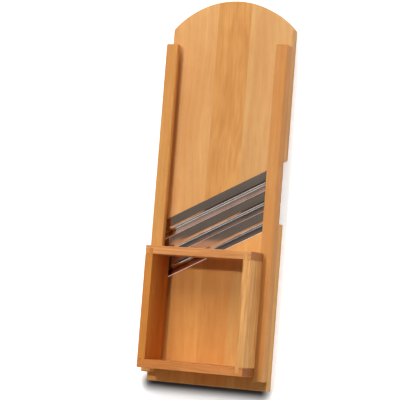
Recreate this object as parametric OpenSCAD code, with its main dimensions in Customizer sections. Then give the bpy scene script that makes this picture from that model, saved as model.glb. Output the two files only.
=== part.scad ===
// Cabbage cutter: two wooden boards joined by side rails, three slanted steel blades in the
// mouth between the boards, and a wooden box that slides along the rails over the blades.
// Millimetres. The cutter lies on its back: X is its width, +Y runs to the arched end and
// +Z faces the user. The origin is the middle of the footprint, on the back face.

/* [Boards] */
// Length from the foot end to the top of the arch
overall_length = 520; // [480:1:580]
// Width of both boards
board_width = 176; // [160:1:200]
// Thickness of both boards
board_thickness = 15; // [13:0.5:20]
// Height of the arch above its corners
arch_rise = 39; // [25:1:55]
// Small bevel along the outer edges of the boards
board_arris = 0.8; // [0.3:0.1:1.5]
// Width of the upper board's left stave
upper_left_stave = 66; // [56:1:72]
// Width of the upper board's middle stave
upper_middle_stave = 48; // [38:1:56]
// Width of the lower board's left stave
lower_left_stave = 71; // [60:1:78]
// Width of the lower board's middle stave
lower_middle_stave = 42; // [32:1:52]

/* [Rails] */
// Width of a rail
rail_width = 17; // [15:0.5:22]
// Height of a rail above the boards
rail_height = 18; // [14:0.5:24]
// Length of a rail
rail_length = 446; // [410:1:460]
// How far the boards reach past the rails at the foot end
rail_foot_margin = 12; // [6:1:24]
// How far a rail stands out past the side of the boards
rail_overhang = 1; // [0:0.5:3]
// Height of the groove along the inside of a rail, under its lip
groove_height = 10; // [9:0.5:11]
// Depth of the groove along the inside of a rail
groove_depth = 6; // [5:0.5:6.5]
// Small bevel along the edges of a rail
rail_arris = 1.2; // [0.4:0.1:2]

/* [Mouth and blades] */
// Distance from the foot end to the upper board's cut edge, on the middle line
mouth_top = 258; // [240:1:280]
// Slant of the mouth and the blades against the width, in degrees
blade_angle = 27; // [20:1:32]
// Distance from one cutting edge to the next, square to the edges
blade_pitch = 24.3; // [23.5:0.1:27]
// Thickness of a blade
blade_thickness = 1.2; // [0.8:0.1:1.5]
// Height of the cutting edges above the face of the boards
edge_rise = 2.1; // [1.7:0.1:2.6]
// Width of the ramp behind a cutting edge
ramp_width = 11; // [9.5:0.5:12]
// Fall of the ramp from the cutting edge, in degrees
ramp_fall = 9; // [6:0.5:11]
// Width of the straight part of the step behind the ramp
step_width = 1; // [0.6:0.1:1.6]
// Fall of the step, in degrees
step_fall = 27; // [22:1:32]
// Radius of the bend at the bottom of the step
bend_radius = 8; // [5:0.5:9]
// Rise of the flange behind the bend, in degrees
flange_rise = 5; // [2:0.5:7]
// Slit between a flange and the next cutting edge
slit = 1; // [0.6:0.1:1.5]
// Length of the bevel under a cutting edge
bevel_length = 3.2; // [2:0.2:5]
// Height of the blunt land left on a cutting edge
edge_land = 0.15; // [0.05:0.05:0.3]
// How far a blade reaches under each rail
blade_hold = 14.5; // [13.5:0.5:15]
// Lean of the upper board's cut edge, back from its front corner, in degrees
mouth_undercut = 13; // [4:1:20]

/* [Screws] */
// Shank diameter of a blade screw
blade_screw_d = 3; // [2.5:0.1:3.5]
// Head diameter of a blade screw
blade_screw_head_d = 5.4; // [4.6:0.2:5.8]
// Head height of a blade screw
blade_screw_head_h = 1.8; // [1.4:0.1:2.4]
// Length of a blade screw under its head
blade_screw_length = 12; // [9:0.5:14]
// Shank diameter of a rail screw
rail_screw_d = 4; // [3:0.2:5]
// Head diameter of a rail screw
rail_screw_head_d = 7.6; // [6.6:0.2:9]
// Height of the countersunk head of a rail screw
rail_screw_head_h = 2.2; // [1.6:0.1:3]
// How deep a rail screw bites into its rail
rail_screw_bite = 12; // [8:0.5:13]
// Distance from a rail screw to the nearest end of the rail or the board
rail_screw_margin = 22; // [16:1:34]
// Length of the cross recess, as a share of the screw's head
recess_share = 0.6; // [0.5:0.02:0.7]
// Width of the cross recess
recess_width = 0.9; // [0.6:0.1:1.2]
// Depth of the cross recess
recess_depth = 1.1; // [0.7:0.1:1.3]

/* [Sliding box] */
// Length of the box along the rails
box_length = 162; // [130:1:190]
// Height of the box above the rails
box_height = 39; // [28:1:60]
// Thickness of the four walls
box_wall = 11; // [9.5:0.5:13]
// How far the box sits over each rail
box_seat = 4.3; // [3:0.1:5.5]
// Distance from the foot end of the cutter to the resting box
box_rest = 18.5; // [12.5:0.5:60]
// Gap between the lower edge of the box and the boards
box_floor_gap = 5; // [3:0.5:8]
// Thickness of the tongues that join the walls
tongue_thickness = 5; // [3:0.5:5.5]
// Length of the tongues that join the walls
tongue_length = 7.6; // [5:0.1:9]
// Small bevel along the edges of the walls
box_arris = 0.5; // [0.2:0.1:0.8]

/* [Fits] */
// Gap of a glued or seated joint
seat_gap = 0.1; // [0.05:0.05:0.2]
// Running gap between the box and the face of the rails
run_gap = 0.3; // [0.2:0.1:0.6]
// Play between the box and the inside of each rail
side_play = 0.5; // [0.3:0.1:1]
// Gap round a screw shank
bore_gap = 0.1; // [0.05:0.05:0.2]
// Gap between a cut edge of the mouth and what stands beside it
mouth_gap = 0.3; // [0.2:0.1:0.6]

/* [Hidden] */
$fn = 64;

LEFT = -1;
RIGHT = 1;
BLADES = [0, 1, 2];

// A cutting tool reaches this far past the stock that it cuts
past = 10;
half_length = overall_length / 2;
half_width = board_width / 2;
arch_radius = (half_width * half_width + arch_rise * arch_rise) / (2 * arch_rise);
arch_centre = half_length - arch_radius;
upper_joints = [
    -half_width - past,
    -half_width + upper_left_stave,
    -half_width + upper_left_stave + upper_middle_stave,
    half_width + past,
];
lower_joints = [
    -half_width - past,
    -half_width + lower_left_stave,
    -half_width + lower_left_stave + lower_middle_stave,
    half_width + past,
];

rail_outer = half_width + rail_overhang;
rail_inner = rail_outer - rail_width;
rail_web_inner = rail_inner + groove_depth;
rail_screw_x = (rail_web_inner + half_width) / 2;
rail_low_end = -half_length + rail_foot_margin;
rail_high_end = rail_low_end + rail_length;
rail_face = board_thickness + rail_height;
lip_bottom = board_thickness + groove_height;

mouth_top_y = mouth_top - half_length;
mouth_width = mouth_gap + len(BLADES) * blade_pitch;
mouth_reach = board_width + overall_length;
blade_end = rail_inner + blade_hold;
blade_screw_x = (rail_web_inner + blade_end) / 2;

// The blade's section, with Y square to its cutting edge and Z from the face of the boards
bend_parts = 12;
bend_turn = (step_fall + flange_rise) / bend_parts;
edge_point = [0, edge_rise];
ramp_foot = edge_point + ramp_width / cos(ramp_fall) * downhill(ramp_fall);
step_foot = ramp_foot + step_width / cos(step_fall) * downhill(step_fall);
bend_centre = step_foot - bend_radius * underside(step_fall);
bend_bottom = bend_centre.y - bend_radius;
flange_head = bend_centre + bend_radius * underside(-flange_rise);
flange_length = (blade_pitch - slit + flange_head.x) / cos(flange_rise);
flange_foot = flange_head + flange_length * downhill(-flange_rise);
flange_middle = (flange_head + flange_foot) / 2;
blade_face = concat(
    [edge_point, ramp_foot],
    [for (part = [0:bend_parts]) bend_point(part, bend_radius)],
    [flange_foot]
);
blade_back = concat(
    [flange_foot + blade_thickness * underside(-flange_rise)],
    [for (part = [bend_parts:-1:0]) bend_point(part, bend_radius + blade_thickness)],
    [
        ramp_foot + blade_thickness / cos((step_fall - ramp_fall) / 2)
            * underside((step_fall + ramp_fall) / 2),
        edge_point + bevel_length * downhill(ramp_fall) + blade_thickness * underside(ramp_fall),
        edge_point + edge_land * underside(ramp_fall),
    ]
);

rail_screw_length = board_thickness + rail_screw_bite;

box_low_end = -half_length + box_rest;
box_bottom = board_thickness + box_floor_gap;
box_shoulder = rail_face + run_gap;
box_top = box_shoulder + box_height;
box_outer = rail_inner + box_seat;
box_inner = box_outer - box_wall;
box_drop_outer = rail_inner - side_play;

board_colour = "#dea66c";
rail_colour = "#d29350";
box_colour = "#d89c5c";
steel_colour = "#8d8984";
screw_colour = "#b9b6ae";

// Where the mouth's edges cross a line along the board at x, measured along Y
function mouth_upper_y(x) = mouth_top_y + x * tan(blade_angle);
function mouth_lower_y(x) = mouth_upper_y(x) - mouth_width / cos(blade_angle);

// Unit vectors in a blade's section: down a face that falls away from the edge, and out of its back
function downhill(fall) = [-cos(fall), -sin(fall)];
function underside(fall) = [sin(fall), -cos(fall)];

// A point of the bend, counted from the step to the flange
function bend_point(part, radius) = bend_centre + radius * underside(step_fall - part * bend_turn);

// Place of a blade along the mouth, and of its screws along the blade, in line under the rail
function blade_plan(blade) = -mouth_gap - blade * blade_pitch;
function blade_screw_plan(blade, side) =
    (side * blade_screw_x + (blade_plan(blade) + flange_middle.x) * sin(blade_angle)) / cos(blade_angle);

// Places of the rail screws along Y, two in each board
function upper_screw_places(side) = [
    min(rail_high_end, half_length - arch_rise) - rail_screw_margin,
    mouth_upper_y(side * rail_screw_x) + rail_screw_margin,
];
function lower_screw_places(side) = [
    mouth_lower_y(side * rail_screw_x) - rail_screw_margin,
    rail_low_end + rail_screw_margin,
];

module bevelled_rectangle(width, height, arris) {
    polygon([
        [arris, 0],
        [width - arris, 0],
        [width, arris],
        [width, height - arris],
        [width - arris, height],
        [arris, height],
        [0, height - arris],
        [0, arris],
    ]);
}

// A block from the origin with a small bevel on all twelve edges
module bevelled_block(size, arris) {
    intersection() {
        linear_extrude(size.z)
            bevelled_rectangle(size.x, size.y, arris);
        translate([0, size.y, 0])
            rotate([90, 0, 0])
                linear_extrude(size.y)
                    bevelled_rectangle(size.x, size.z, arris);
        rotate([90, 0, 90])
            linear_extrude(size.x)
                bevelled_rectangle(size.y, size.z, arris);
    }
}

// Draws in the plane of the mouth: X along its slant, Y square to it, Z from the boards' face
module along_mouth() {
    translate([0, mouth_top_y, board_thickness])
        rotate([0, 0, blade_angle])
            children();
}

// Draws at a blade: Y is 0 at its cutting edge and Z is 0 at the face of the boards
module along_blade(blade) {
    along_mouth()
        translate([0, blade_plan(blade), 0])
            children();
}

// Draws at the screw in one end of a blade's flange, with Z square to the flange
module along_flange(blade, side) {
    along_blade(blade)
        translate([blade_screw_plan(blade, side), flange_middle.x, flange_middle.y])
            rotate([-flange_rise, 0, 0])
                children();
}

// A bar along the mouth's slant with the given section
module slanted_bar(section) {
    rotate([90, 0, 90])
        translate([0, 0, -mouth_reach / 2])
            linear_extrude(mouth_reach)
                polygon(section);
}

// The arched end: a disc with a bevelled rim, and the straight stretch below its centre
module arch_outline() {
    translate([0, arch_centre, 0])
        rotate_extrude($fn = 180)
            polygon([
                [0, 0],
                [arch_radius - board_arris, 0],
                [arch_radius, board_arris],
                [arch_radius, board_thickness - board_arris],
                [arch_radius - board_arris, board_thickness],
                [0, board_thickness],
            ]);
    translate([-half_width - past, -half_length - past, 0])
        cube([board_width + 2 * past, overall_length + past - arch_radius, board_thickness]);
}

// Both boards as one blank, before the mouth is cut
module board_blank() {
    intersection() {
        translate([-half_width, -half_length, 0])
            bevelled_block([board_width, overall_length + past, board_thickness], board_arris);
        arch_outline();
    }
}

// One stave of the blank, between two glue lines
module stave_blank(joints, index) {
    intersection() {
        board_blank();
        translate([joints[index], -half_length - past, -past])
            cube([
                joints[index + 1] - joints[index],
                overall_length + 2 * past,
                board_thickness + 2 * past,
            ]);
    }
}

// What the upper board loses: everything below its leaning cut edge
module below_upper_board() {
    lean = tan(mouth_undercut);
    depth = board_thickness + past;
    along_mouth()
        slanted_bar([
            [-mouth_reach, past],
            [-past * lean, past],
            [depth * lean, -depth],
            [-mouth_reach, -depth],
        ]);
}

// What the lower board loses: everything above its cut edge
module above_lower_board() {
    along_mouth()
        translate([-mouth_reach / 2, -mouth_width, -board_thickness - past])
            cube([mouth_reach, mouth_reach, board_thickness + 2 * past]);
}

// The countersunk screw that holds a rail, standing on the back face at the origin
module rail_screw(gap) {
    sink = rail_screw_head_h + gap;
    rotate_extrude()
        polygon([
            [0, -gap],
            [rail_screw_head_d / 2 + gap, -gap],
            [rail_screw_head_d / 2 + gap, gap],
            [rail_screw_d / 2 + gap, sink],
            [rail_screw_d / 2 + gap, rail_screw_length + gap],
            [0, rail_screw_length + gap],
        ]);
}

// Draws at each of a rail's screws in one board
module along_rail(side, places) {
    for (y = places)
        translate([side * rail_screw_x, y, seat_gap])
            children();
}

module rail_screw_bores(side) {
    along_rail(side, concat(upper_screw_places(side), lower_screw_places(side)))
        rail_screw(bore_gap);
}

// The cross that a driver takes hold of, sunk into a screw's head at the origin
module cross_recess(head_d) {
    reach = head_d * recess_share;
    for (turn = [0, 90])
        rotate([0, 0, turn])
            translate([-reach / 2, -recess_width / 2, -past])
                cube([reach, recess_width, past + recess_depth]);
}

module upper_stave(index) {
    color(board_colour)
        difference() {
            stave_blank(upper_joints, index);
            below_upper_board();
            rail_screw_bores(LEFT);
            rail_screw_bores(RIGHT);
        }
}

module lower_stave(index) {
    color(board_colour)
        difference() {
            stave_blank(lower_joints, index);
            above_lower_board();
            rail_screw_bores(LEFT);
            rail_screw_bores(RIGHT);
        }
}

// The screw that holds one end of a blade, its head under the flange
module blade_screw() {
    translate([0, 0, -blade_thickness - seat_gap - blade_screw_head_h])
        difference() {
            union() {
                cylinder(d = blade_screw_head_d, h = blade_screw_head_h);
                cylinder(d = blade_screw_d, h = blade_screw_head_h + blade_screw_length);
            }
            cross_recess(blade_screw_head_d);
        }
}

module blade_screw_bore(blade, side) {
    along_flange(blade, side)
        translate([0, 0, -past])
            cylinder(d = blade_screw_d + 2 * bore_gap, h = past + blade_screw_length);
}

// The stock of a rail's foot, which comes down into the mouth between the boards
module seat_stock(side) {
    drop = seat_gap - bend_bottom;
    width = rail_width - 2 * rail_overhang - groove_depth;
    intersection() {
        along_mouth()
            translate([-mouth_reach / 2, -mouth_width + mouth_gap, -drop])
                cube([mouth_reach, mouth_width - 2 * mouth_gap, drop + rail_arris]);
        translate([side > 0 ? rail_web_inner : -rail_web_inner - width, -half_length, 0])
            cube([width, overall_length, rail_face]);
    }
}

// What is cut from a rail to seat one blade: all that lies under the face of the blade
module blade_seat(blade) {
    along_blade(blade)
        slanted_bar(concat(
            [[mouth_gap, -past], [mouth_gap, edge_rise + seat_gap]],
            [for (point = blade_face) point + [0, seat_gap]],
            [[-blade_pitch, flange_foot.y + seat_gap], [-blade_pitch, -past]]
        ));
}

// The groove under a rail's lip, open at both ends of the rail
module rail_groove(side) {
    translate([
        side > 0 ? rail_inner - past : -rail_web_inner,
        rail_low_end - past,
        board_thickness - past,
    ])
        cube([groove_depth + past, rail_length + 2 * past, groove_height + past]);
}

module rail(side) {
    color(rail_colour)
        difference() {
            union() {
                translate([side > 0 ? rail_inner : -rail_outer, rail_low_end, board_thickness])
                    bevelled_block([rail_width, rail_length, rail_height], rail_arris);
                seat_stock(side);
            }
            rail_groove(side);
            for (blade = BLADES) {
                blade_seat(blade);
                blade_screw_bore(blade, side);
            }
            rail_screw_bores(side);
        }
}

// A cranked blade, trimmed to end under the rails and drilled for its screws
module blade(blade) {
    color(steel_colour)
        difference() {
            intersection() {
                along_blade(blade)
                    slanted_bar(concat(blade_face, blade_back));
                translate([-blade_end, -half_length, 0])
                    cube([2 * blade_end, overall_length, rail_face]);
            }
            blade_screw_bore(blade, LEFT);
            blade_screw_bore(blade, RIGHT);
        }
}

module blade_screws(side) {
    color(screw_colour)
        for (blade = BLADES)
            along_flange(blade, side)
                blade_screw();
}

module rail_screws(side, places) {
    color(screw_colour)
        along_rail(side, places)
            difference() {
                rail_screw(0);
                cross_recess(rail_screw_head_d);
            }
}

// An end wall of the box, drawn at the foot end with its inner face towards +Y.
// Its lower corners are notched to ride between the rails and its inner face has two housings.
module box_end_wall() {
    height = box_top - box_bottom;
    housing = tongue_thickness + 2 * seat_gap;
    difference() {
        translate([-box_outer, 0, box_bottom])
            bevelled_block([2 * box_outer, box_wall, height], box_arris);
        for (side = [LEFT, RIGHT]) {
            translate([side > 0 ? box_drop_outer : -box_outer - past, -past, box_bottom - past])
                cube([box_seat + side_play + past, box_wall + 2 * past, box_shoulder - box_bottom + past]);
            translate([
                side > 0 ? box_inner - seat_gap : -box_inner - housing + seat_gap,
                box_wall - tongue_length - seat_gap,
                box_bottom - past,
            ])
                cube([housing, tongue_length + seat_gap + past, height + 2 * past]);
        }
    }
}

// The right-hand side wall of the box: a slot for the rail's lip and a tongue at each end
module box_side_wall() {
    height = box_top - box_bottom;
    length = box_length - 2 * box_wall - 2 * seat_gap;
    slot_bottom = lip_bottom - run_gap - box_bottom;
    translate([0, box_low_end + box_wall + seat_gap, box_bottom])
        difference() {
            union() {
                translate([box_inner, 0, 0])
                    bevelled_block([box_wall, length, height], box_arris);
                translate([box_inner, -tongue_length, 0])
                    cube([tongue_thickness, length + 2 * tongue_length, height]);
            }
            translate([box_drop_outer, -past, slot_bottom])
                cube([box_wall + past, length + 2 * past, box_shoulder - box_bottom - slot_bottom]);
        }
}

module box_foot_wall() {
    color(box_colour)
        translate([0, box_low_end, 0])
            box_end_wall();
}

module box_head_wall() {
    color(box_colour)
        translate([0, box_low_end + box_length, 0])
            mirror([0, 1, 0])
                box_end_wall();
}

module box_right_wall() {
    color(box_colour)
        box_side_wall();
}

module box_left_wall() {
    color(box_colour)
        mirror([1, 0, 0])
            box_side_wall();
}

upper_stave(0);  // upper_left_stave
upper_stave(1);  // upper_middle_stave
upper_stave(2);  // upper_right_stave
lower_stave(0);  // lower_left_stave
lower_stave(1);  // lower_middle_stave
lower_stave(2);  // lower_right_stave
rail(LEFT);  // left_rail
rail(RIGHT);  // right_rail
blade(BLADES[0]);  // first_blade
blade(BLADES[1]);  // second_blade
blade(BLADES[2]);  // third_blade
blade_screws(LEFT);  // left_blade_screws
blade_screws(RIGHT);  // right_blade_screws
rail_screws(LEFT, upper_screw_places(LEFT));  // upper_left_rail_screws
rail_screws(RIGHT, upper_screw_places(RIGHT));  // upper_right_rail_screws
rail_screws(LEFT, lower_screw_places(LEFT));  // lower_left_rail_screws
rail_screws(RIGHT, lower_screw_places(RIGHT));  // lower_right_rail_screws
box_head_wall();
box_foot_wall();
box_left_wall();
box_right_wall();
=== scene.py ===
"""Studio scene of a wooden cabbage cutter with slanted blades and a sliding box.

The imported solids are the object. This script gives them oiled wood, ground steel and zinc,
and sets up the floor, the lamps and the camera. Units are metres in the part's own frame:
X is the width, +Y runs to the arched end and +Z points out of the front.
"""

import logging
import math
from collections.abc import Iterable
from dataclasses import dataclass, field, replace
from enum import Enum
from typing import Union

import bmesh
import bpy
from mathutils import Matrix, Vector


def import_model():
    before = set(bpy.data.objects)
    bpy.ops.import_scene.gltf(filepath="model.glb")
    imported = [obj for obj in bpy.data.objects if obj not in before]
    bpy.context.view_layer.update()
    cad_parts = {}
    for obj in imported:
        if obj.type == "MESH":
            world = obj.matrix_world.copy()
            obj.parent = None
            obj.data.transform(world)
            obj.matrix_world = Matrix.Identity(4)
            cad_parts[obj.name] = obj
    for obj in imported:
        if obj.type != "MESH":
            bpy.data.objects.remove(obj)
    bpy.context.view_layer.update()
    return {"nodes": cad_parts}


LOG = logging.getLogger("cabbage_cutter")
MILLIMETRE = 0.001

Colour = tuple[float, float, float]
Linear = tuple[float, float, float, float]
Triple = tuple[float, float, float]
Span = tuple[float, float]
Socket = bpy.types.NodeSocket
Value = Union[float, Linear, Socket]

FULL: Span = (0.0, 1.0)
FADING: Span = (1.0, 0.0)


def linear(colour: Colour) -> Linear:
    """Turn a display colour into the linear colour that shaders take.

    Args:
        colour: Red, green and blue from 0 to 255, as seen on a screen.

    Returns:
        Linear red, green and blue from 0 to 1, and an alpha of 1.
    """
    shares = [channel / 255 for channel in colour]
    low, slope, power, offset = 0.04045, 12.92, 2.4, 0.055
    values = [s / slope if s <= low else ((s + offset) / (1 + offset)) ** power for s in shares]
    return (values[0], values[1], values[2], 1.0)


class GrainAxis(Enum):
    """The axis that the fibres of a wooden piece run along."""

    WIDTH = 0
    LENGTH = 1

    @property
    def across(self) -> tuple[int, int]:
        """Give the two axes square to the fibres."""
        return (1, 2) if self is GrainAxis.WIDTH else (0, 2)

    @property
    def vector(self) -> Triple:
        """Give the axis as a unit vector."""
        return (1.0, 0.0, 0.0) if self is GrainAxis.WIDTH else (0.0, 1.0, 0.0)


class Sheet:
    """The node sheet of a material or of the sky, with short ways to add nodes and join them."""

    def __init__(
        self,
        owner: Union[bpy.types.Material, bpy.types.World],
        output: str = "ShaderNodeOutputMaterial",
    ) -> None:
        """Start an empty sheet with an output node.

        Args:
            owner: The material or the sky that the sheet belongs to.
            output: The type name of the output node.
        """
        owner.use_nodes = True
        self.owner = owner
        self.tree = owner.node_tree
        self.tree.nodes.clear()
        self.output = self.add(output)

    def add(self, kind: str, **settings: object) -> bpy.types.Node:
        """Add a node and set its properties.

        Args:
            kind: The node's type name.
            settings: Properties of the node by name.

        Returns:
            The new node.
        """
        node = self.tree.nodes.new(kind)
        for name, value in settings.items():
            setattr(node, name, value)
        return node

    def join(self, source: Socket, target: Socket) -> None:
        """Link an output socket to an input socket."""
        self.tree.links.new(source, target)

    def feed(self, socket: Socket, value: Value) -> None:
        """Set a socket to a value, or link it where the value is another socket.

        Args:
            socket: The input socket.
            value: A number, a colour or an output socket.
        """
        if isinstance(value, Socket):
            self.join(value, socket)
        else:
            socket.default_value = value

    def show(self, shader: bpy.types.Node) -> None:
        """Make a shader the result of the sheet."""
        self.join(shader.outputs[0], self.output.inputs["Surface"])

    def coordinate(self, name: str) -> Socket:
        """Give a texture coordinate by its name."""
        return self.add("ShaderNodeTexCoord").outputs[name]

    def split(self, vector: Socket) -> tuple[Socket, Socket, Socket]:
        """Split a place into its three axes."""
        node = self.add("ShaderNodeSeparateXYZ")
        self.join(vector, node.inputs[0])
        return (node.outputs[0], node.outputs[1], node.outputs[2])

    def math(self, operation: str, first: Value, second: Value = 0.0) -> Socket:
        """Add a math node.

        Args:
            operation: The operation's name.
            first: The first number or socket.
            second: The second number or socket.

        Returns:
            The result socket.
        """
        node = self.add("ShaderNodeMath", operation=operation)
        self.feed(node.inputs[0], first)
        self.feed(node.inputs[1], second)
        return node.outputs[0]

    def distance(self, first: Socket, second: Socket) -> Socket:
        """Work out a straight distance from its reach along two axes that are square.

        Args:
            first: The reach along one axis.
            second: The reach along the other axis.

        Returns:
            The distance.
        """
        squares = [self.math("MULTIPLY", reach, reach) for reach in (first, second)]
        return self.math("SQRT", self.math("ADD", squares[0], squares[1]))

    def noise(self, vector: Socket, detail: float = 2.0, scale: float = 1.0) -> Socket:
        """Add a noise texture.

        Args:
            vector: The place.
            detail: How many finer layers the noise has.
            scale: The scale of the noise.

        Returns:
            The noise from 0 to 1.
        """
        node = self.add("ShaderNodeTexNoise")
        self.join(vector, node.inputs["Vector"])
        node.inputs["Scale"].default_value = scale
        node.inputs["Detail"].default_value = detail
        return node.outputs["Fac"]

    def stretch(self, parts: Iterable[tuple[Socket, float, float]]) -> Socket:
        """Build a place whose axes are scaled and shifted one by one.

        Args:
            parts: For each axis a socket, its scale and its shift.

        Returns:
            The place.
        """
        node = self.add("ShaderNodeCombineXYZ")
        for socket, (source, scale, shift) in zip(node.inputs, parts):
            scaled = self.add("ShaderNodeMath", operation="MULTIPLY_ADD")
            self.join(source, scaled.inputs[0])
            scaled.inputs[1].default_value = scale
            scaled.inputs[2].default_value = shift
            self.join(scaled.outputs[0], socket)
        return node.outputs[0]

    def remap(self, value: Socket, span: Span, to: Span = FULL) -> Socket:
        """Map a range of values smoothly to another.

        Args:
            value: The socket to map.
            span: The values that give the first and the second result.
            to: The two results.

        Returns:
            The mapped value, held between the two results.
        """
        node = self.add("ShaderNodeMapRange", interpolation_type="SMOOTHSTEP")
        self.join(value, node.inputs["Value"])
        node.inputs["From Min"].default_value = span[0]
        node.inputs["From Max"].default_value = span[1]
        node.inputs["To Min"].default_value = to[0]
        node.inputs["To Max"].default_value = to[1]
        return node.outputs["Result"]

    def blend(self, share: Socket, first: Value, second: Value) -> Socket:
        """Mix two colours.

        Args:
            share: How much of the second colour shows.
            first: The first colour or socket.
            second: The second colour or socket.

        Returns:
            The mixed colour.
        """
        node = self.add("ShaderNodeMix", data_type="RGBA")
        self.join(share, node.inputs[0])
        # A mix node lists its colour sockets after those for numbers and vectors.
        self.feed(node.inputs[6], first)
        self.feed(node.inputs[7], second)
        return node.outputs[2]

    def between(self, share: Socket, first: Socket, second: Socket) -> Socket:
        """Mix two numbers.

        Args:
            share: How much of the second number counts.
            first: The first number.
            second: The second number.

        Returns:
            The mixed number.
        """
        node = self.add("ShaderNodeMix", data_type="FLOAT")
        self.join(share, node.inputs[0])
        self.join(first, node.inputs[2])
        self.join(second, node.inputs[3])
        return node.outputs[0]

    def bump(self, height: Socket, strength: float, depth: float) -> Socket:
        """Turn a height into a surface normal.

        Args:
            height: The height from 0 to 1.
            strength: How strongly it shows.
            depth: The depth of a full step, in metres.

        Returns:
            The normal.
        """
        node = self.add("ShaderNodeBump")
        node.inputs["Strength"].default_value = strength
        node.inputs["Distance"].default_value = depth
        self.join(height, node.inputs["Height"])
        return node.outputs["Normal"]

    def looked_at(self) -> Socket:
        """Tell light that is seen from light that only falls on other things.

        Returns:
            1 where the camera, a mirror or glass sees the surface, and 0 elsewhere.
        """
        path = self.add("ShaderNodeLightPath").outputs
        seen = self.math("MAXIMUM", path["Is Camera Ray"], path["Is Glossy Ray"])
        return self.math("MAXIMUM", seen, path["Is Transmission Ray"])


@dataclass(frozen=True)
class Grain:
    """Noise that is drawn out along the fibres of the wood.

    Attributes:
        lengthwise: Scale along the fibres.
        crosswise: Scale across the fibres.
        detail: How many finer layers the noise has.
        shift: Shift from the wood's other noises.
    """

    lengthwise: float
    crosswise: float
    detail: float
    shift: float

    def lay(self, sheet: Sheet, axes: tuple[Socket, Socket, Socket], seed: float) -> Socket:
        """Lay the noise through one piece of wood.

        Args:
            sheet: The node sheet of the wood.
            axes: The place along the fibres, across them in the face, and into the face.
            seed: Shift of all patterns of the piece.

        Returns:
            The noise from 0 to 1.
        """
        side_turn, depth_turn = 1.7, 0.6
        start = seed + self.shift
        scales = (self.lengthwise, self.crosswise, self.crosswise)
        shifts = (start, start * side_turn, start * depth_turn)
        return sheet.noise(sheet.stretch(zip(axes, scales, shifts)), self.detail)


SWAY = Grain(lengthwise=4.6, crosswise=12.0, detail=2.0, shift=3.1)
CLOUD = Grain(lengthwise=5.0, crosswise=34.0, detail=1.5, shift=7.7)
FLECK = Grain(lengthwise=46.0, crosswise=70.0, detail=2.0, shift=16.4)
STREAK = Grain(lengthwise=24.0, crosswise=250.0, detail=2.0, shift=27.5)
FIBRE = Grain(lengthwise=14.0, crosswise=620.0, detail=3.0, shift=12.3)
PORE = Grain(lengthwise=90.0, crosswise=1500.0, detail=1.0, shift=21.9)

SOFT_FADE: Span = (0.3, 0.74)
STREAK_FADE: Span = (0.44, 0.68)
PORE_FADE: Span = (0.66, 0.78)
GLOSS_FADE: Span = (0.25, 0.75)
RING_RISE: Span = (0.15, 0.86)
RING_FALL: Span = (0.9, 1.0)
END_FADE: Span = (0.45, 0.95)


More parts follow.
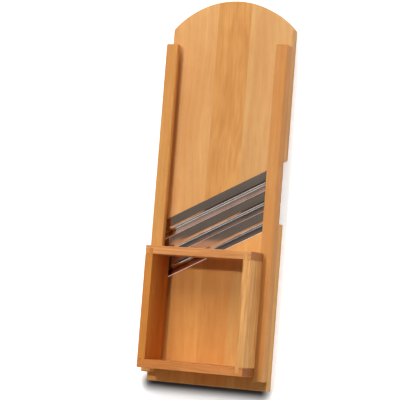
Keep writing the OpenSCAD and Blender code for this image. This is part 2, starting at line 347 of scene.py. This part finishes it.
@dataclass(frozen=True)
class OiledWood:
    """Planed and oiled hardwood, cut from its own place in the log.

    Attributes:
        late_tone: The darker wood at the end of a year ring.
        end_tone: The end grain, which drinks more oil.
        tone: The face of the wood.
        axis: The axis of the fibres.
        heart: Place of the log's heart on the two axes across the fibres, in metres.
        ring: Width of a year ring, in metres.
        seed: Shift of all patterns, so that no two pieces match.
        figure: How strongly the year rings show.
        clouds: How strongly the broad shading shows.
        flecks: How strongly the small flecks show.
        streaks: How strongly the short dark streaks show.
        fibres: How strongly the long fine fibres show.
        pores: How strongly the pores show.
        ends: How much of the end grain's tone shows on the ends.
        sway: How far the fibres sway, in metres.
        ring_sway: How far the year rings sway, in rings.
        pore_depth: Depth of a pore against the height of a fibre.
        relief: How strongly the fibres and the pores stand out.
        relief_depth: Height of a fibre, in metres.
        roughness: Roughness where the fibres are smooth and where they are rough.
        shine: Strength of the oil's reflection.
    """

    late_tone: Colour
    end_tone: Colour
    tone: Colour = (230, 176, 113)
    axis: GrainAxis = GrainAxis.LENGTH
    heart: tuple[float, float] = (0.0, 0.0)
    ring: float = 0.011
    seed: float = 0.0
    figure: float = 0.15
    clouds: float = 0.34
    flecks: float = 0.13
    streaks: float = 0.12
    fibres: float = 0.14
    pores: float = 0.3
    ends: float = 0.62
    sway: float = 0.03
    ring_sway: float = 3.4
    pore_depth: float = 0.6
    relief: float = 0.22
    relief_depth: float = 0.0003
    roughness: Span = (0.44, 0.58)
    shine: float = 0.2

    def build(self, name: str) -> bpy.types.Material:
        """Build the material.

        Args:
            name: The name of the material.

        Returns:
            Wood with year rings, broad shading, fibres, pores and dark end grain.
        """
        sheet = Sheet(bpy.data.materials.new(name))
        place = sheet.split(sheet.coordinate("Object"))
        along = place[self.axis.value]
        side, depth = (place[index] for index in self.axis.across)
        sway = SWAY.lay(sheet, (along, side, depth), self.seed)
        rings = self._rings(sheet, side, depth, sway)
        swayed = sheet.math("ADD", side, sheet.math("MULTIPLY", sway, self.sway))
        grains = (CLOUD, FLECK, STREAK, FIBRE, PORE)
        cloud, fleck, streak, fibre, pore = (
            grain.lay(sheet, (along, swayed, depth), self.seed) for grain in grains)
        pores = sheet.remap(pore, PORE_FADE)

        late, end = linear(self.late_tone), linear(self.end_tone)
        figure = sheet.math("MULTIPLY", rings, self.figure)
        colour = sheet.blend(figure, linear(self.tone), late)
        layers = (
            (cloud, SOFT_FADE, self.clouds),
            (fleck, SOFT_FADE, self.flecks),
            (streak, STREAK_FADE, self.streaks),
            (fibre, SOFT_FADE, self.fibres),
        )
        for layer, fade, strength in layers:
            colour = sheet.blend(sheet.remap(layer, fade, (0.0, strength)), colour, late)
        colour = sheet.blend(sheet.math("MULTIPLY", pores, self.pores), colour, end)
        colour = sheet.blend(self._end_grain(sheet), colour, end)

        height = sheet.math("SUBTRACT", fibre, sheet.math("MULTIPLY", pores, self.pore_depth))
        normal = sheet.bump(height, self.relief, self.relief_depth)
        shader = sheet.add("ShaderNodeBsdfPrincipled")
        sheet.join(colour, shader.inputs["Base Color"])
        sheet.join(sheet.remap(fibre, GLOSS_FADE, self.roughness), shader.inputs["Roughness"])
        sheet.join(normal, shader.inputs["Normal"])
        shader.inputs["Specular IOR Level"].default_value = self.shine
        sheet.show(shader)
        return sheet.owner

    def _rings(self, sheet: Sheet, side: Socket, depth: Socket, sway: Socket) -> Socket:
        """Draw the year rings round the heart of the log.

        Args:
            sheet: The node sheet.
            side: The place across the fibres, in the face.
            depth: The place across the fibres, into the face.
            sway: Noise that makes the rings wander.

        Returns:
            The late wood, from 0 to 1.
        """
        reach = [
            sheet.math("SUBTRACT", socket, centre)
            for socket, centre in zip((side, depth), self.heart)
        ]
        count = sheet.math("DIVIDE", sheet.distance(*reach), self.ring)
        swayed = sheet.math("ADD", count, sheet.math("MULTIPLY", sway, self.ring_sway))
        within = sheet.math("FRACT", swayed)
        rise = sheet.remap(within, RING_RISE)
        fall = sheet.remap(within, RING_FALL, FADING)
        return sheet.math("MULTIPLY", rise, fall)

    def _end_grain(self, sheet: Sheet) -> Socket:
        """Find the faces that cut across the fibres.

        Args:
            sheet: The node sheet.

        Returns:
            How much of the end grain's tone shows.
        """
        facing = sheet.add("ShaderNodeVectorMath", operation="DOT_PRODUCT")
        sheet.join(sheet.coordinate("Normal"), facing.inputs[0])
        facing.inputs[1].default_value = self.axis.vector
        across = sheet.math("ABSOLUTE", facing.outputs["Value"])
        return sheet.remap(across, END_FADE, (0.0, self.ends))


LINE_FADE: Span = (0.3, 0.7)
SMEAR_FADE: Span = (0.35, 0.7)


@dataclass(frozen=True)
class BladeSteel:
    """Rolled steel strip, ground on the ramp behind its edge and polished from there on.

    Attributes:
        name: The name of the material.
        edge: Distance of the cutting edge from the origin, square to the edge, in metres.
        slant: Angle of the edge against the width, in degrees.
        ramp: Width of the ground ramp, in metres.
        ramp_fade: Half the width over which the ramp turns into the polished steel, in metres.
        flange: Distance from the edge to the flange, in metres.
        flange_fade: Half the width over which the flange begins, in metres.
        wood_reflection_fade: Distances behind the flange's start where the painted reflection of
            the wood begins and is full.
        tone: The colour of the ground steel.
        bright_tone: The colour of the polished bend.
        flange_dark_reflection_tone: The colour of the flange behind the bend, painted darker to
            stand in for the dark surroundings that the polished steel reflects.
        flange_wood_reflection_tone: The pinkish colour at the end of the flange, a painted
            reflection of the wood.
        smear_tone: The colour of the dull smears.
        smears: How strongly the smears show.
        line_scale: Scale of the grinding lines along the strip, square to it and upward.
        line_shift: Shift of the grinding lines from blade to blade.
        smear_scale: Scale of the smears along the strip, square to it and upward.
        smear_start: Shift of the smears along the strip.
        smear_shift: Shift of the smears from blade to blade.
        ground: Roughness of the ramp, between and on the grinding lines.
        polished: Roughness of the polished steel, clear and smeared.
        relief: How strongly the grinding lines stand out.
        relief_depth: Depth of a grinding line, in metres.
    """

    name: str
    edge: float
    slant: float = 27.0
    ramp: float = 0.011
    ramp_fade: float = 0.0003
    flange: float = 0.0166
    flange_fade: float = 0.0004
    wood_reflection_fade: Span = (0.0006, 0.0066)
    tone: Colour = (197, 181, 169)
    bright_tone: Colour = (216, 211, 206)
    flange_dark_reflection_tone: Colour = (140, 132, 126)
    flange_wood_reflection_tone: Colour = (236, 200, 184)
    smear_tone: Colour = (150, 140, 128)
    smears: float = 0.22
    line_scale: Triple = (9.0, 2600.0, 900.0)
    line_shift: float = 900.0
    smear_scale: Triple = (30.0, 120.0, 120.0)
    smear_start: float = 4.0
    smear_shift: float = 70.0
    ground: Span = (0.14, 0.22)
    polished: Span = (0.045, 0.08)
    relief: float = 0.12
    relief_depth: float = 0.00004

    def build(self) -> bpy.types.Material:
        """Build the material.

        Returns:
            Steel with grinding lines along the ramp, a polished bend and flange, and painted
            reflections on the flange.
        """
        sheet = Sheet(bpy.data.materials.new(self.name))
        turn = sheet.add("ShaderNodeMapping", vector_type="POINT")
        turn.inputs["Rotation"].default_value = (0.0, 0.0, -math.radians(self.slant))
        sheet.join(sheet.coordinate("Object"), turn.inputs["Vector"])
        axes = sheet.split(turn.outputs[0])
        line_shifts = (0.0, self.edge * self.line_shift, 0.0)
        smear_shifts = (self.smear_start, self.edge * self.smear_shift, 0.0)
        lines = sheet.noise(sheet.stretch(zip(axes, self.line_scale, line_shifts)))
        smear = sheet.noise(sheet.stretch(zip(axes, self.smear_scale, smear_shifts)))

        behind = sheet.math("SUBTRACT", self.edge, axes[1])
        polish = sheet.remap(behind, self._round(self.ramp, self.ramp_fade))
        flange = sheet.remap(behind, self._round(self.flange, self.flange_fade))
        # The flange's colours are painted reflections: a dark grey for the dark surroundings and a
        # pinkish tone for the wood.
        reflection_start, reflection_end = (self.flange + distance for distance in self.wood_reflection_fade)
        wood_reflection = sheet.remap(behind, (reflection_start, reflection_end))
        painted_flange_reflections = sheet.blend(wood_reflection, linear(self.flange_dark_reflection_tone), linear(self.flange_wood_reflection_tone))
        colour = sheet.blend(polish, linear(self.tone), linear(self.bright_tone))
        colour = sheet.blend(flange, colour, painted_flange_reflections)
        smears = sheet.remap(smear, SMEAR_FADE, (0.0, self.smears))
        colour = sheet.blend(smears, colour, linear(self.smear_tone))

        ground = sheet.remap(lines, LINE_FADE, self.ground)
        polished = sheet.remap(smear, LINE_FADE, self.polished)
        scratches = sheet.math("MULTIPLY", lines, sheet.math("SUBTRACT", 1.0, polish))
        normal = sheet.bump(scratches, self.relief, self.relief_depth)
        shader = sheet.add("ShaderNodeBsdfPrincipled")
        sheet.join(colour, shader.inputs["Base Color"])
        sheet.join(sheet.between(polish, ground, polished), shader.inputs["Roughness"])
        sheet.join(normal, shader.inputs["Normal"])
        shader.inputs["Metallic"].default_value = 1.0
        sheet.show(shader)
        return sheet.owner

    @staticmethod
    def _round(middle: float, half: float) -> Span:
        """Give the span that reaches equally far to both sides of its middle."""
        return (middle - half, middle + half)


@dataclass(frozen=True)
class Zinc:
    """Bright zinc plating on the screws, with small dull spots.

    Attributes:
        name: The name of the material.
        tone: The bright plating.
        dull_tone: The duller spots.
        spot_scale: Scale of the spots.
        roughness: Roughness of the bright plating and of the spots.
    """

    name: str = "bright_zinc"
    tone: Colour = (212, 210, 204)
    dull_tone: Colour = (170, 166, 158)
    spot_scale: float = 700.0
    roughness: Span = (0.25, 0.45)

    def build(self) -> bpy.types.Material:
        """Build the material.

        Returns:
            Zinc with spots in its colour and its gloss.
        """
        sheet = Sheet(bpy.data.materials.new(self.name))
        spots = sheet.noise(sheet.coordinate("Object"), scale=self.spot_scale)
        dull = sheet.remap(spots, SMEAR_FADE)
        colour = sheet.blend(dull, linear(self.tone), linear(self.dull_tone))
        shader = sheet.add("ShaderNodeBsdfPrincipled")
        sheet.join(colour, shader.inputs["Base Color"])
        sheet.join(sheet.remap(spots, LINE_FADE, self.roughness), shader.inputs["Roughness"])
        shader.inputs["Metallic"].default_value = 1.0
        sheet.show(shader)
        return sheet.owner


def dress(node: bpy.types.Object, material: bpy.types.Material) -> None:
    """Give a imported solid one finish.

    Args:
        node: The solid's object.
        material: The finish.
    """
    node.data.materials.clear()
    node.data.materials.append(material)
    LOG.info("%s wears %s", node.name, material.name)


@dataclass
class Joinery:
    """Wooden pieces that are made from the same timber.

    Attributes:
        nodes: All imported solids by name.
    """

    nodes: dict[str, bpy.types.Object]

    def cuts(self) -> dict[str, OiledWood]:
        """List the wood of each piece by its node's name."""
        raise NotImplementedError

    def build(self) -> None:
        """Dress each piece, cut from its own place in the log."""
        for name, wood in self.cuts().items():
            dress(self.nodes[name], wood.build(f"{name}_wood"))


@dataclass
class Boards(Joinery):
    """The upper and the lower board, each glued up from three staves.

    Attributes:
        timber: The wood that all staves share.
        dark_tone: The late wood of the stave with the strongest figure.
    """

    timber: OiledWood = OiledWood(late_tone=(200, 128, 56), end_tone=(178, 104, 42))
    dark_tone: Colour = (184, 112, 44)

    def cuts(self) -> dict[str, OiledWood]:
        """List the wood of the six staves.

        Returns:
            The finish of each stave, by its node's name.
        """
        return {
            "upper_left_stave": replace(
                self.timber, tone=(230, 176, 113), heart=(-0.21, -0.05), seed=1.3,
                figure=0.11, streaks=0.12),
            "upper_middle_stave": replace(
                self.timber, tone=(227, 166, 93), heart=(0.012, -0.03), seed=4.9,
                figure=0.2, streaks=0.28, late_tone=self.dark_tone),
            "upper_right_stave": replace(
                self.timber, tone=(222, 173, 112), heart=(0.19, -0.06), seed=9.2,
                figure=0.12, streaks=0.14),
            "lower_left_stave": replace(
                self.timber, tone=(242, 177, 97), heart=(-0.17, -0.09), seed=179.3,
                figure=0.15, streaks=0.16),
            "lower_middle_stave": replace(
                self.timber, tone=(235, 169, 91), heart=(0.006, -0.04), seed=190.7,
                figure=0.2, streaks=0.24),
            "lower_right_stave": replace(
                self.timber, tone=(234, 183, 108), heart=(0.16, -0.07), seed=279.8,
                figure=0.15, streaks=0.14),
        }


@dataclass
class Rails(Joinery):
    """The two rails that the box slides on.

    Attributes:
        timber: The wood that both rails share.
    """

    timber: OiledWood = OiledWood(late_tone=(192, 114, 42), end_tone=(152, 88, 32), ring=0.006)

    def cuts(self) -> dict[str, OiledWood]:
        """List the wood of the two rails.

        Returns:
            The finish of each rail, by its node's name.
        """
        return {
            "left_rail": replace(
                self.timber, tone=(220, 161, 89), heart=(-0.16, 0.03), seed=88.2),
            "right_rail": replace(
                self.timber, tone=(217, 156, 89), heart=(0.17, 0.045), seed=115.2),
        }


@dataclass
class SlidingBox(Joinery):
    """The open box, with end walls that run across and side walls let into them.

    Attributes:
        timber: The wood that all walls share, with the fibres along the side walls.
    """

    timber: OiledWood = OiledWood(
        late_tone=(178, 102, 38), end_tone=(140, 80, 30), ring=0.0055, streaks=0.2, fibres=0.5)

    def cuts(self) -> dict[str, OiledWood]:
        """List the wood of the four walls.

        Returns:
            The finish of each wall, by its node's name.
        """
        crosswise = replace(self.timber, axis=GrainAxis.WIDTH)
        return {
            "box_head_wall": replace(
                crosswise, tone=(241, 174, 109), end_tone=(144, 82, 40), heart=(-0.16, 0.0),
                seed=330.9),
            "box_foot_wall": replace(
                crosswise, tone=(228, 150, 83), end_tone=(98, 46, 6), heart=(-0.33, 0.02),
                seed=411.6),
            "box_left_wall": replace(
                self.timber, tone=(227, 151, 66), heart=(-0.17, 0.01), seed=481.9),
            "box_right_wall": replace(
                self.timber, tone=(250, 194, 120), heart=(0.15, 0.02), seed=59.1),
        }


@dataclass
class BladeSet:
    """The three cranked blades in the mouth, and the screws of the blades and the rails.

    Attributes:
        nodes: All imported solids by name.
        first_edge: Distance of the first edge from the origin, square to the edge, in metres.
        pitch: Distance from edge to edge, in metres.
        blades: The blades' node names, from the arched end to the foot.
        screws: The ending of the screws' node names.
    """

    nodes: dict[str, bpy.types.Object]
    first_edge: float = -2.08 * MILLIMETRE
    pitch: float = 24.3 * MILLIMETRE
    blades: tuple[str, ...] = ("first_blade", "second_blade", "third_blade")
    screws: str = "_screws"

    def build(self) -> None:
        """Dress the blades and all screws."""
        for count, name in enumerate(self.blades):
            steel = BladeSteel(f"{name}_steel", self.first_edge - count * self.pitch)
            dress(self.nodes[name], steel.build())
        zinc = Zinc().build()
        for name in sorted(self.nodes):
            if name.endswith(self.screws):
                dress(self.nodes[name], zinc)


@dataclass(frozen=True)
class Softbox:
    """A flat lamp that faces the cutter.

    Attributes:
        name: The lamp's name.
        toward: Direction from the cutter to the lamp.
        distance: Distance from the cutter, in metres.
        size: Length and breadth of the lamp, in metres.
        power: Power of the lamp, in watts.
        along: Direction that the lamp's length runs in.
        tint: Colour of the light.
    """

    name: str
    toward: Triple
    distance: float
    size: tuple[float, float]
    power: float
    along: Triple = (1.0, 0.0, 0.0)
    tint: Triple = (1.0, 1.0, 1.0)

    def hang(self) -> None:
        """Hang the lamp."""
        data = bpy.data.lights.new(self.name, "AREA")
        data.shape = "RECTANGLE"
        data.size, data.size_y = self.size
        data.energy = self.power
        data.color = self.tint
        away = Vector(self.toward).normalized()
        breadth = away.cross(Vector(self.along)).normalized()
        length = breadth.cross(away)
        lamp = bpy.data.objects.new(self.name, data)
        axes = Matrix((length, breadth, away)).transposed().to_4x4()
        lamp.matrix_world = Matrix.Translation(self.distance * away) @ axes
        bpy.context.scene.collection.objects.link(lamp)
        LOG.info("%s hangs", self.name)


# The last four lamps lie along the blades, so that the folds of the steel show them as lines.
BLADE_LINE: Triple = (0.891, 0.454, 0.0)
LAMPS = (
    Softbox(
        "key_lamp", toward=(-0.193, 0.38, 1.86), distance=1.908, size=(0.11, 0.11), power=12.0),
    Softbox(
        "top_softbox", toward=(-0.05, 0.79, 0.61), distance=2.6, size=(1.78, 1.78), power=50.5),
    Softbox(
        "right_softbox", toward=(0.93, -0.36, 0.12), distance=2.0, size=(1.2, 0.4), power=7.6,
        along=(0.36, 0.93, 0.0)),
    Softbox(
        "foot_fill", toward=(0.15, -0.94, 0.28), distance=2.2, size=(0.8, 0.3), power=2.4),
    Softbox(
        "amber_strip", toward=(-0.10, -0.527, 0.844), distance=6.0, size=(3.6, 0.7), power=6.0,
        along=BLADE_LINE, tint=(1.0, 0.47, 0.2)),
    Softbox(
        "foot_strip", toward=(-0.169, -0.391, 0.905), distance=6.0, size=(3.6, 0.42), power=6.6,
        along=BLADE_LINE),
    Softbox(
        "left_strip", toward=(-0.413, 0.087, 0.907), distance=6.0, size=(3.6, 0.34), power=5.4,
        along=BLADE_LINE),
    Softbox(
        "warm_card", toward=(-0.50, 0.26, 0.826), distance=6.0, size=(3.6, 0.9), power=11.0,
        along=BLADE_LINE, tint=(1.0, 0.84, 0.78)),
)


@dataclass
class Studio:
    """The floor, the lamps, the sky and the camera.

    Attributes:
        aim: The point on the front of the cutter in the middle of the picture.
        pivot: The point that the camera's distance is measured from.
        toward_camera: Direction from the pivot to the camera.
        distance: Distance of the camera, in metres.
        roll: Turn of the camera about its line of sight, in radians.
        lens: Focal length, in millimetres.
        sensor: Width of the camera's sensor, in millimetres.
        sight: How far the camera sees, in metres.
        floor_half: Half the side of the floor, in metres.
        floor_tone: Linear colour of the open floor.
        glow: How much of the floor's white is its own, near the cutter.
        far_glow: How much of it is its own where no lamp reaches.
        lamp_reach: Distances at which the lamps' light begins to fade and is gone, in metres.
        foot: Middle of the shaded strip along the cutter's foot end, on the floor.
        foot_half: Half the length of the shaded strip, in metres.
        foot_fade: Distance from the strip at which the floor is white again, in metres.
        foot_tone: Linear colour of the floor in the shaded strip.
        lamps: The lamps of the studio.
        overhead: Linear colour of the sky overhead.
        foot_sky: Linear colour of the sky above the foot.
        foot_turn: Y of the directions between which the sky above the foot turns into the rest.
        lit_horizon: Linear colour of the light from the horizon.
        lit_rise: Z of the directions between which that light fades into the sky overhead.
        seen_horizon: Linear colour of the horizon where it is seen.
        seen_rise: Z of the directions between which the seen horizon fades.
    """

    aim: Vector = field(default_factory=lambda: Vector((-0.029, -0.0121, 0.015)))
    pivot: Vector = field(default_factory=lambda: Vector((0.0, 0.0, 0.02)))
    toward_camera: Vector = field(default_factory=lambda: Vector((0.4057, -0.0727, 0.9111)))
    distance: float = 2.23
    roll: float = -0.07837
    lens: float = 149.5
    sensor: float = 36.0
    sight: float = 100.0
    floor_half: float = 15.0
    floor_tone: Linear = (0.8, 0.8, 0.8, 1.0)
    glow: float = 0.56
    far_glow: float = 0.95
    lamp_reach: Span = (1.0, 2.6)
    foot: tuple[float, float] = (-0.0075, -0.2625)
    foot_half: float = 0.0815
    foot_fade: float = 0.0205
    foot_tone: Linear = (0.085, 0.085, 0.092, 1.0)
    lamps: tuple[Softbox, ...] = LAMPS
    overhead: Linear = (0.17, 0.16, 0.15, 1.0)
    foot_sky: Linear = (0.03, 0.026, 0.022, 1.0)
    foot_turn: Span = (-0.62, -0.42)
    lit_horizon: Linear = (0.6, 0.6, 0.6, 1.0)
    lit_rise: Span = (0.0, 0.4)
    seen_horizon: Linear = (1.0, 1.0, 1.0, 1.0)
    seen_rise: Span = (0.22, 0.4)

    def build(self) -> None:
        """Set up the whole studio."""
        self.place_camera()
        self.lay_floor()
        for lamp in self.lamps:
            lamp.hang()
        self.paint_sky()

    def place_camera(self) -> None:
        """Place the camera at the photograph's angle."""
        stand = self.pivot + self.distance * self.toward_camera.normalized()
        back = (stand - self.aim).normalized()
        right = Vector((0.0, 1.0, 0.0)).cross(back).normalized()
        up = back.cross(right)
        turned_right = math.cos(self.roll) * right - math.sin(self.roll) * up
        turned_up = math.cos(self.roll) * up + math.sin(self.roll) * right
        data = bpy.data.cameras.new("camera")
        data.lens = self.lens
        data.sensor_width = self.sensor
        data.clip_end = self.sight
        camera = bpy.data.objects.new("camera", data)
        axes = Matrix((turned_right, turned_up, back)).transposed().to_4x4()
        camera.matrix_world = Matrix.Translation(stand) @ axes
        bpy.context.scene.collection.objects.link(camera)
        bpy.context.scene.camera = camera

    def lay_floor(self) -> None:
        """Lay the floor, which keeps the cutter's shadow."""
        shape = bmesh.new()
        bmesh.ops.create_grid(shape, x_segments=1, y_segments=1, size=self.floor_half)
        mesh = bpy.data.meshes.new("floor")
        shape.to_mesh(mesh)
        shape.free()
        mesh.materials.append(self._floor_white())
        floor = bpy.data.objects.new("floor", mesh)
        bpy.context.scene.collection.objects.link(floor)

    def _floor_white(self) -> bpy.types.Material:
        """Build the floor's material.

        Returns:
            Matt white with a glow of its own where it is seen, and a contact shade at the foot.
        """
        sheet = Sheet(bpy.data.materials.new("floor_white"))
        clear = self._clear_of_foot(sheet)
        away = sheet.add("ShaderNodeVectorMath", operation="LENGTH")
        sheet.join(sheet.coordinate("Object"), away.inputs[0])
        level = sheet.remap(away.outputs["Value"], self.lamp_reach, (self.glow, self.far_glow))
        strength = sheet.math("MULTIPLY", sheet.looked_at(), sheet.math("MULTIPLY", clear, level))
        glow = sheet.add("ShaderNodeEmission")
        sheet.join(strength, glow.inputs["Strength"])
        matt = sheet.add("ShaderNodeBsdfDiffuse")
        sheet.join(sheet.blend(clear, self.foot_tone, self.floor_tone), matt.inputs["Color"])
        both = sheet.add("ShaderNodeAddShader")
        sheet.join(glow.outputs[0], both.inputs[0])
        sheet.join(matt.outputs[0], both.inputs[1])
        sheet.show(both)
        return sheet.owner

    def _clear_of_foot(self, sheet: Sheet) -> Socket:
        """Find how clear a point of the floor is of the contact shade at the foot.

        Args:
            sheet: The node sheet of the floor.

        Returns:
            0 in the shaded strip along the foot, rising to 1 on the open floor.
        """
        place = sheet.split(sheet.coordinate("Object"))
        sideways = sheet.math("ABSOLUTE", sheet.math("SUBTRACT", place[0], self.foot[0]))
        past_end = sheet.math("MAXIMUM", sheet.math("SUBTRACT", sideways, self.foot_half), 0.0)
        ahead = sheet.math("SUBTRACT", place[1], self.foot[1])
        return sheet.remap(sheet.distance(past_end, ahead), (0.0, self.foot_fade))

    def paint_sky(self) -> None:
        """Paint a plain sky, pale at the horizon, grey overhead and darker above the foot.

        The band above the horizon is white where it is seen, and dimmer where it only gives light.
        """
        sheet = Sheet(bpy.data.worlds.new("studio"), "ShaderNodeOutputWorld")
        toward = sheet.split(sheet.coordinate("Generated"))
        over_foot = sheet.remap(toward[1], self.foot_turn, FADING)
        overhead = sheet.blend(over_foot, self.overhead, self.foot_sky)
        lit_band = sheet.remap(toward[2], self.lit_rise, FADING)
        seen_band = sheet.remap(toward[2], self.seen_rise, FADING)
        lit = sheet.blend(lit_band, overhead, self.lit_horizon)
        seen = sheet.blend(seen_band, overhead, self.seen_horizon)
        sky = sheet.add("ShaderNodeBackground")
        sheet.join(sheet.blend(sheet.looked_at(), lit, seen), sky.inputs["Color"])
        sheet.show(sky)
        bpy.context.scene.world = sheet.owner


def main() -> None:
    """Load the solids, dress each sub-assembly and set up the studio."""
    logging.basicConfig(level=logging.INFO, format="%(name)s: %(message)s")
    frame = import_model()
    bpy.context.scene.view_settings.view_transform = "Standard"
    nodes = frame["nodes"]
    for assembly in (Boards, Rails, SlidingBox, BladeSet):
        assembly(nodes).build()
    Studio().build()


if __name__ == "__main__":
    main()
